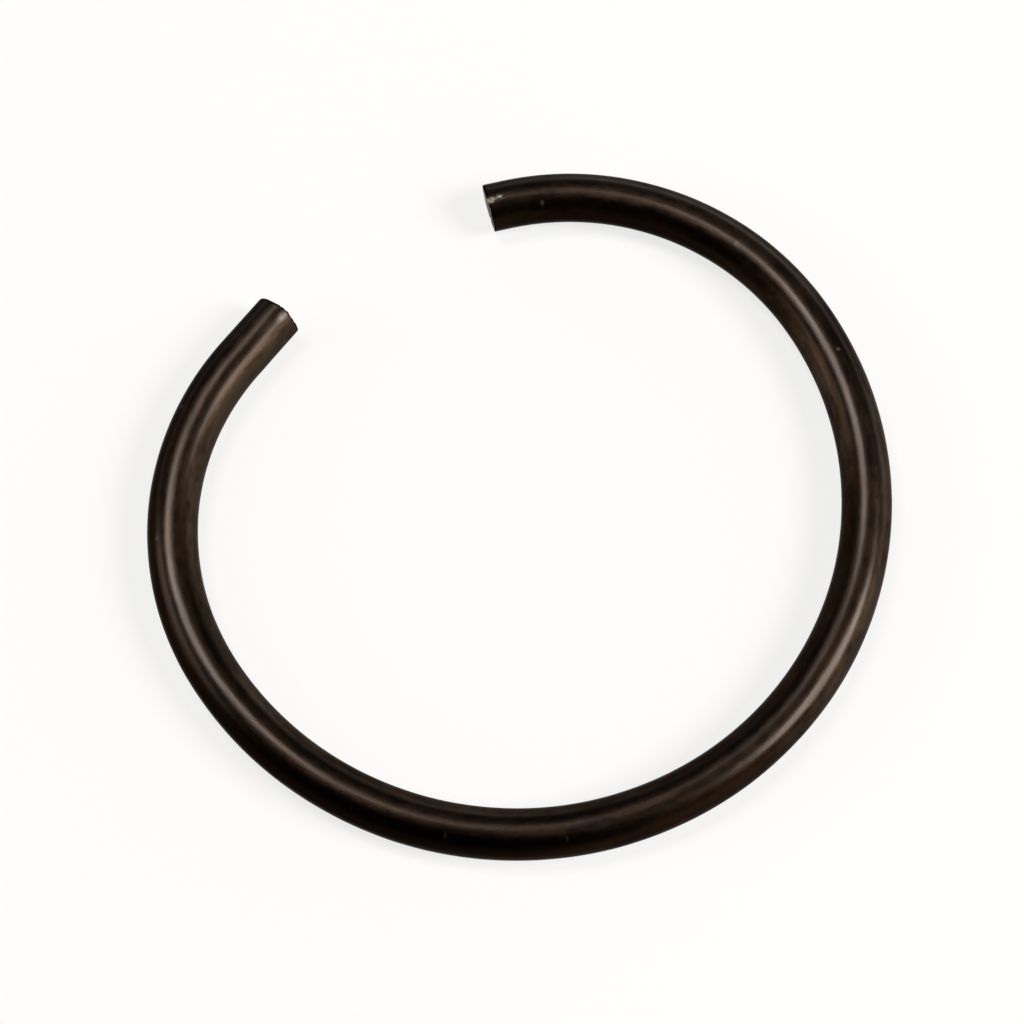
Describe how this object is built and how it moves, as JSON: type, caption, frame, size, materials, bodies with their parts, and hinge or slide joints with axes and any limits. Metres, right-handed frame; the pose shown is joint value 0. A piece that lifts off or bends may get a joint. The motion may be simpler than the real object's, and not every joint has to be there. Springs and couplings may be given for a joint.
{
  "type": "round-wire snap ring",
  "caption": "Open ring of round spring wire with square-cropped ends, a retaining ring that springs into a groove inside a bore and stops what lies behind it.",
  "frame": {"origin": "centre of the back arc, in the middle plane of the wire", "axes": "+Z along the ring's axis, +Y from the centre towards the gap between the ends, +X towards the end with the short tip"},
  "size_m": [0.03, 0.0274, 0.002],
  "materials": {
    "spring_wire": "drawn spring steel wire with a brown-black oxide and an oil film"
  },
  "bodies": {
    "root": {"snap_ring": "spring_wire"}
  },
  "joints": []
}
